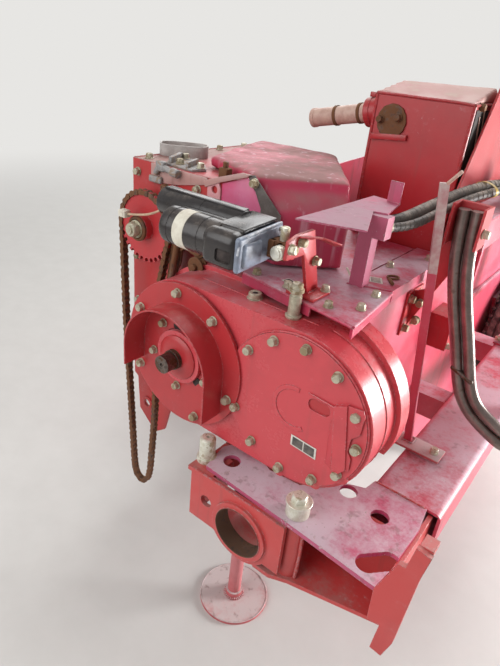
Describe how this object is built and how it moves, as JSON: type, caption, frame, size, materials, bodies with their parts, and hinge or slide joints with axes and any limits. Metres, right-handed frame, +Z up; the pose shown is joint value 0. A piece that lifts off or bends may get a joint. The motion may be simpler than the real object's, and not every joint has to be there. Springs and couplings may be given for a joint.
{
  "type": "potato digger",
  "caption": "Trailed potato digger with an offset hitch, gear case and chain drive in front, a lifting share, a rod web and two wheels.",
  "frame": {"origin": "on the floor, under the middle of the whole machine's box", "axes": "+X to the machine's left side, +Y back from the tractor, +Z up"},
  "size_m": [1.405, 2.8, 1.42],
  "materials": {
    "red_paint": "sun-faded satin",
    "zinc_steel": "dull zinc",
    "dark_steel": "oiled, dark",
    "rusty_steel": "rusty matt",
    "worn_steel": "worn bright and rusty",
    "black_housing": "satin",
    "grey_pipe": "dusty satin",
    "black_hose": "dusty, wrapped",
    "pale_lead": "matt",
    "white_plastic": "matt",
    "tyre": "dusty matt",
    "rim_paint": "dull, chipped"
  },
  "bodies": {
    "frame": {"main_beam": "red_paint", "side_rail": "red_paint", "cross_members": "red_paint", "hitch_plate": "red_paint", "hitch_box": "red_paint", "hitch_pins": "zinc_steel", "stand_post": "dark_steel", "gear_case": "red_paint", "gear_cover": "red_paint", "drive_guard": "red_paint", "case_fittings": "zinc_steel", "front_wall": "red_paint", "chain_sprocket": "red_paint", "drive_chain": "rusty_steel", "chain_tensioner": "rusty_steel", "housing_box": "red_paint", "hood": "red_paint", "table": "red_paint", "loose_plate": "red_paint", "lever_bracket": "red_paint", "actuator": "black_housing", "actuator_lead": "pale_lead", "lead_connector": "white_plastic", "upright_cover": "red_paint", "post_bar": "red_paint", "pipe_bracket": "red_paint", "hydraulic_pipes": "grey_pipe", "side_panel": "red_paint", "pipe_rail": "red_paint", "hose_pair": "black_hose", "side_wall_left": "red_paint", "side_wall_right": "red_paint", "digging_share": "worn_steel", "rod_web": "worn_steel", "web_rollers": "worn_steel", "axle_left": "red_paint", "axle_right": "red_paint"},
    "stand": {"stand_leg": "red_paint"},
    "drive_shaft": {"drive_shaft": "dark_steel"},
    "wheel_left": {"tyre_left": "tyre", "rim_left": "rim_paint"},
    "wheel_right": {"tyre_right": "tyre", "rim_right": "rim_paint"},
    "swath_left": {"swath_board_left": "red_paint"},
    "swath_right": {"swath_board_right": "red_paint"}
  },
  "joints": [
    {"name": "drive_shaft_spin", "type": "hinge", "parent": "frame", "child": "drive_shaft", "pos_m": [-0.0435, -1.34, 0.754], "axis": [0, 1, 0], "continuous": true},
    {"name": "wheel_left_spin", "type": "hinge", "parent": "frame", "child": "wheel_left", "pos_m": [0.421, 0.47, 0.34], "axis": [1, 0, 0], "continuous": true},
    {"name": "wheel_right_spin", "type": "hinge", "parent": "frame", "child": "wheel_right", "pos_m": [-0.508, 0.47, 0.34], "axis": [1, 0, 0], "continuous": true},
    {"name": "stand_slide", "type": "slide", "parent": "frame", "child": "stand", "axis": [0, 0, 1], "range_m": [0, 0.16]},
    {"name": "swath_left_swing", "type": "hinge", "parent": "frame", "child": "swath_left", "pos_m": [0.3185, 1.20956, 0.79216], "axis": [0, 0, 1], "range_deg": [0, 35]},
    {"name": "swath_right_swing", "type": "hinge", "parent": "frame", "child": "swath_right", "pos_m": [-0.4055, 1.20956, 0.79216], "axis": [0, 0, -1], "range_deg": [0, 35]}
  ]
}
